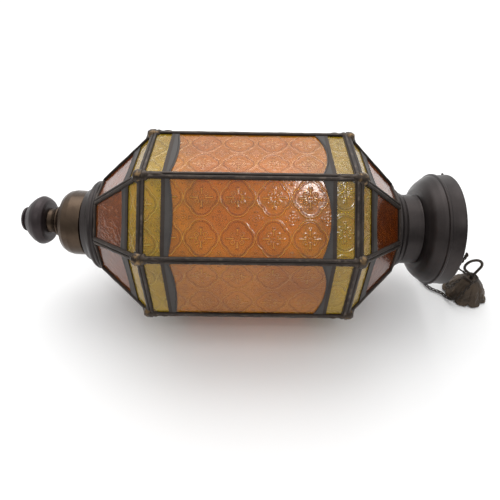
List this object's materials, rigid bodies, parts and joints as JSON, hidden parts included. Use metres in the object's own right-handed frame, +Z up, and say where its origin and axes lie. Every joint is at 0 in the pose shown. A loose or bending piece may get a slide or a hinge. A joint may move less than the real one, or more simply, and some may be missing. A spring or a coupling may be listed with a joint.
{
  "type": "candle lantern",
  "caption": "Long eight-sided hanging candle lantern of amber, yellow and red glass in dark came, lying on its side, with a pull-off brass cup, a spun crown and chains to a leaf cap.",
  "frame": {"origin": "on the surface that the lantern lies on, under the middle of the lantern without its chains", "axes": "+X along the lantern's axis towards the crown, +Z up from the side it lies on, the front at -Y"},
  "size_m": [0.6172, 0.2192, 0.2192],
  "materials": {
    "dark_came": "black-patinated, rubbed brown on the edges",
    "black_iron": "spun sheet, satin black-brown patina",
    "aged_brass": "aged satin brass with a brushed highlight",
    "cast_claw": "dark cast brass, rubbed bright on the crowns",
    "leaf_bronze": "rough brown sand-cast bronze",
    "chain_iron": "blackened wire",
    "trim_lead": "dull dark sheet with a beaded edge",
    "amber_glass": "amber, embossed with flower medallions",
    "yellow_glass": "old-gold yellow, embossed",
    "red_glass": "red-brown, hammered swirls",
    "wax": "ivory wax",
    "cotton": "braided cotton wick"
  },
  "bodies": {
    "lantern": {"amber_pane_1": "amber_glass", "amber_pane_2": "amber_glass", "amber_pane_3": "amber_glass", "amber_pane_4": "amber_glass", "amber_pane_5": "amber_glass", "amber_pane_6": "amber_glass", "amber_pane_7": "amber_glass", "amber_pane_8": "amber_glass", "arch_trims": "trim_lead", "body_frame_1": "dark_came", "body_frame_2": "dark_came", "body_frame_3": "dark_came", "body_frame_4": "dark_came", "body_frame_5": "dark_came", "body_frame_6": "dark_came", "body_frame_7": "dark_came", "body_frame_8": "dark_came", "bottom_collar": "black_iron", "chain_back": "chain_iron", "chain_front": "chain_iron", "chain_low": "chain_iron", "crown": "black_iron", "eye_washer": "chain_iron", "gather_ring": "chain_iron", "hill_trims": "trim_lead", "leaf_cap": "leaf_bronze", "lower_claws": "cast_claw", "lower_taper_frames": "dark_came", "lower_taper_red_panes": "red_glass", "lower_taper_trims": "trim_lead", "lower_taper_yellow_panes": "yellow_glass", "lower_yellow_panes": "yellow_glass", "neck_collar": "black_iron", "neck_tube": "black_iron", "rim_eyelets": "chain_iron", "upper_claws": "cast_claw", "upper_taper_frames": "dark_came", "upper_taper_red_panes": "red_glass", "upper_taper_trims": "trim_lead", "upper_taper_yellow_panes": "yellow_glass", "upper_yellow_panes": "yellow_glass"},
    "cup": {"bottom_cup": "aged_brass", "cup_sleeve": "aged_brass", "finial_neck": "aged_brass", "stud_nut": "chain_iron", "candle_socket": "aged_brass", "drip_pan": "aged_brass"},
    "knob": {"finial_knob": "black_iron", "finial_button": "black_iron", "finial_stud": "chain_iron"},
    "candle_body": {"candle": "wax", "wick": "cotton"},
    "eye": {"hanging_eye": "chain_iron"}
  },
  "joints": [
    {"name": "cup_pull", "type": "slide", "parent": "lantern", "child": "cup", "axis": [-0.9986, 0.037, 0.037], "range_m": [0, 0.15]},
    {"name": "knob_turn", "type": "hinge", "parent": "cup", "child": "knob", "pos_m": [-0.1793, 0.00141, 0.111], "axis": [-0.9986, 0.037, 0.037], "continuous": true},
    {"name": "candle_draw", "type": "slide", "parent": "cup", "child": "candle_body", "axis": [0.9986, -0.037, -0.037], "range_m": [0, 0.05]},
    {"name": "eye_turn", "type": "hinge", "parent": "lantern", "child": "eye", "pos_m": [0.3262, -0.008, 0.0296], "axis": [0, 0, 1], "continuous": true}
  ]
}
